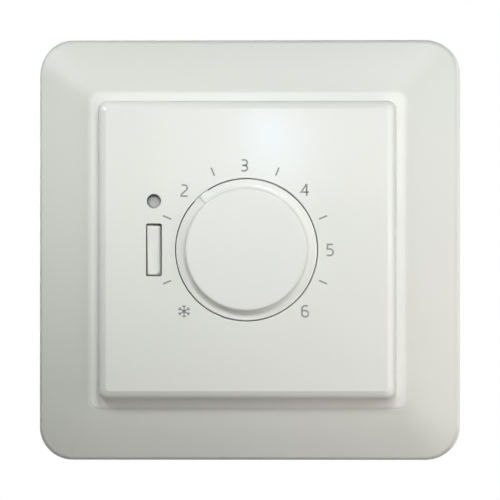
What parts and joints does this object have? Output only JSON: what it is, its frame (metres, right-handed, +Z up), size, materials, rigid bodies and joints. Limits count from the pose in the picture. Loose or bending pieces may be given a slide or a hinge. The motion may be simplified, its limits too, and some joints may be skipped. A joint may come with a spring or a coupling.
{
  "type": "wall thermostat",
  "caption": "Flush wall thermostat with a turning dial knob, an on/off rocker and a lamp in a square white cover and frame, with its wall box base and terminals behind.",
  "frame": {"origin": "on the dial's axis, in the wall plane that the frame and the mounting flange lie on", "axes": "+X to the right and +Z up as seen from the front, +Y into the wall along the dial's axis"},
  "size_m": [0.082, 0.036, 0.082],
  "materials": {
    "frame_plastic": "moulded white, fine gloss",
    "cover_plastic": "moulded white, fine gloss",
    "knob_plastic": "moulded white, fine gloss",
    "rocker_plastic": "moulded white, satin",
    "ring_red": "moulded red",
    "ring_blue": "moulded blue",
    "screw_zinc": "zinc plated",
    "terminal_zinc": "zinc plated",
    "plunger_plastic": "moulded natural",
    "spring_steel": "drawn wire",
    "contact_brass": "stamped",
    "clamp_brass": "stamped, dull",
    "switch_plastic": "moulded black",
    "guide_plastic": "smoked clear",
    "lamp_plastic": "tinted epoxy",
    "inner_plastic": "moulded light grey",
    "base_plastic": "moulded light grey, fine grain",
    "board_laminate": "green solder resist",
    "phenolic": "phenolic paper",
    "pot_metal": "tinned",
    "rotor_plastic": "moulded black",
    "relay_plastic": "moulded black",
    "film_plastic": "moulded yellow",
    "can_aluminium": "drawn can",
    "varistor_coat": "dipped blue",
    "resistor_coat": "cement coat",
    "diode_epoxy": "moulded black",
    "chip_epoxy": "moulded black",
    "terminal_plastic": "moulded dark grey"
  },
  "bodies": {
    "base": {"outer_frame": "frame_plastic", "front_cover": "cover_plastic", "cover_screw": "screw_zinc", "lever_support": "contact_brass", "fixed_contact": "contact_brass", "switch_housing": "switch_plastic", "light_guide": "guide_plastic", "status_lamp": "lamp_plastic", "inner_cover": "inner_plastic", "inner_cover_screws": "screw_zinc", "base_housing": "base_plastic", "circuit_board": "board_laminate", "potentiometer_base": "phenolic", "potentiometer_housing": "pot_metal", "relay": "relay_plastic", "film_capacitor": "film_plastic", "electrolytic_capacitors": "can_aluminium", "varistor": "varistor_coat", "dropper_resistors": "resistor_coat", "rectifier_diodes": "diode_epoxy", "controller_chip": "chip_epoxy", "terminal_block": "terminal_plastic", "terminal_clamps": "clamp_brass", "terminal_screws": "terminal_zinc"},
    "dial": {"knob": "knob_plastic", "max_limit_ring": "ring_red", "min_limit_ring": "ring_blue", "potentiometer_rotor": "rotor_plastic", "potentiometer_wiper": "contact_brass"},
    "rocker": {"rocker_button": "rocker_plastic", "plunger": "plunger_plastic", "plunger_spring": "spring_steel"},
    "lever": {"contact_lever": "contact_brass"}
  },
  "joints": [
    {"name": "dial_turn", "type": "hinge", "parent": "base", "child": "dial", "pos_m": [0, 0, 0], "axis": [0, 1, 0], "range_deg": [-95, 175]},
    {"name": "rocker_tilt", "type": "hinge", "parent": "base", "child": "rocker", "pos_m": [-0.0181, -0.0096, 0], "axis": [-1, 0, 0], "range_deg": [0, 12]},
    {"name": "lever_tilt", "type": "hinge", "parent": "base", "child": "lever", "pos_m": [-0.0181, -0.0019, 0], "axis": [1, 0, 0], "range_deg": [0, 16]}
  ],
  "couplings": [
    {"joint": "lever_tilt", "follows": "rocker_tilt", "ratio": 1.3333}
  ]
}
